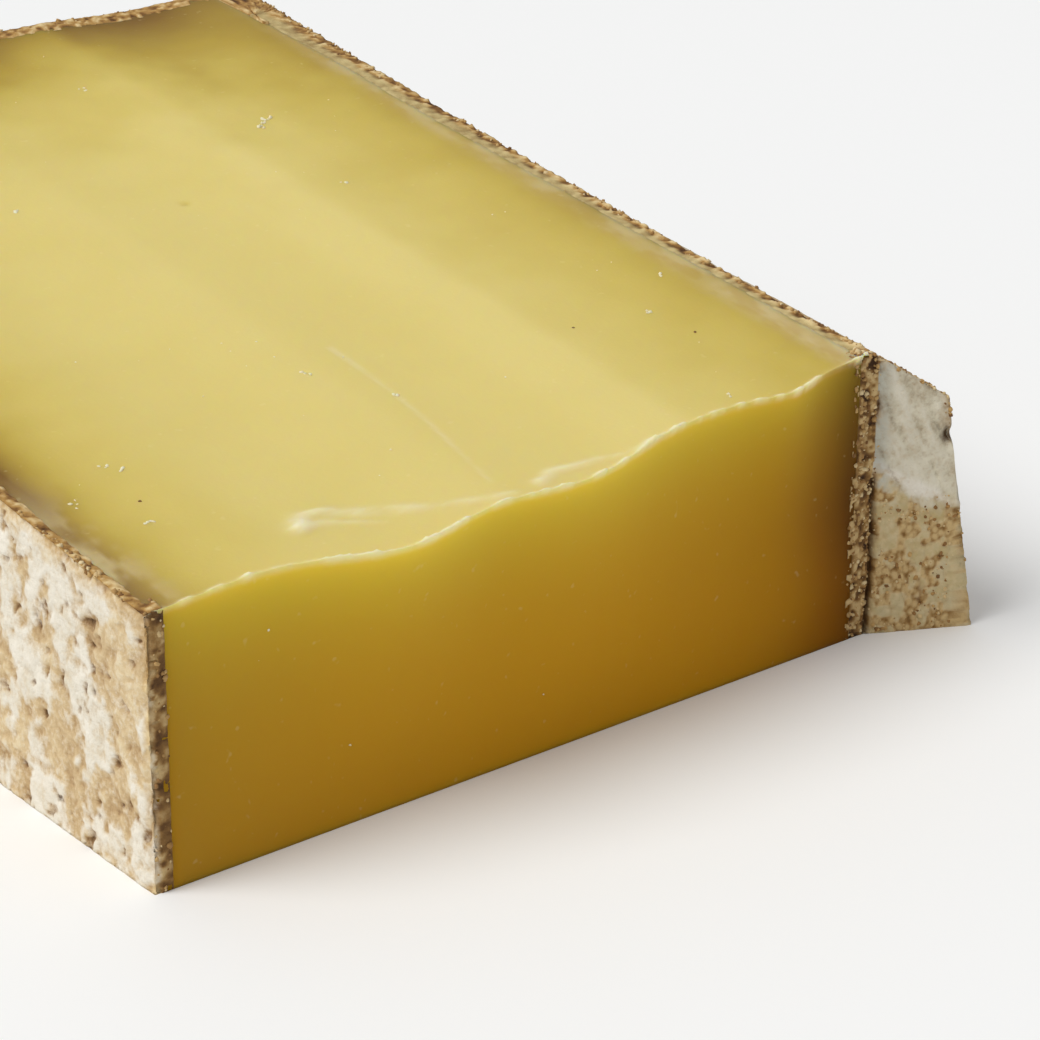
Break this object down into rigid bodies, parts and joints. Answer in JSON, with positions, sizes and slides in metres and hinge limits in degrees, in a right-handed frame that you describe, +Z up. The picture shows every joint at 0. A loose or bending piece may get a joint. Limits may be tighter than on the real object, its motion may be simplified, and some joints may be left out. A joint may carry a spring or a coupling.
{
  "type": "block cut from a gruyere cheese wheel",
  "caption": "Wedge-shaped block of gruyere: pale cut top that rises to the back, wavy front cut, mottled rind on the left, right and back sides.",
  "frame": {"origin": "bottom centre of the block's bounding box, on the board that it lies on", "axes": "+Z up, +Y from the front cut to the heel rind at the back, +X from the left rind to the right rind"},
  "size_m": [0.1274, 0.1676, 0.058],
  "materials": {
    "paste": "satin, slightly translucent",
    "rind": "matt, crumbly, mottled with mould"
  },
  "bodies": {
    "root": {"cheese_block": "paste"}
  },
  "joints": []
}
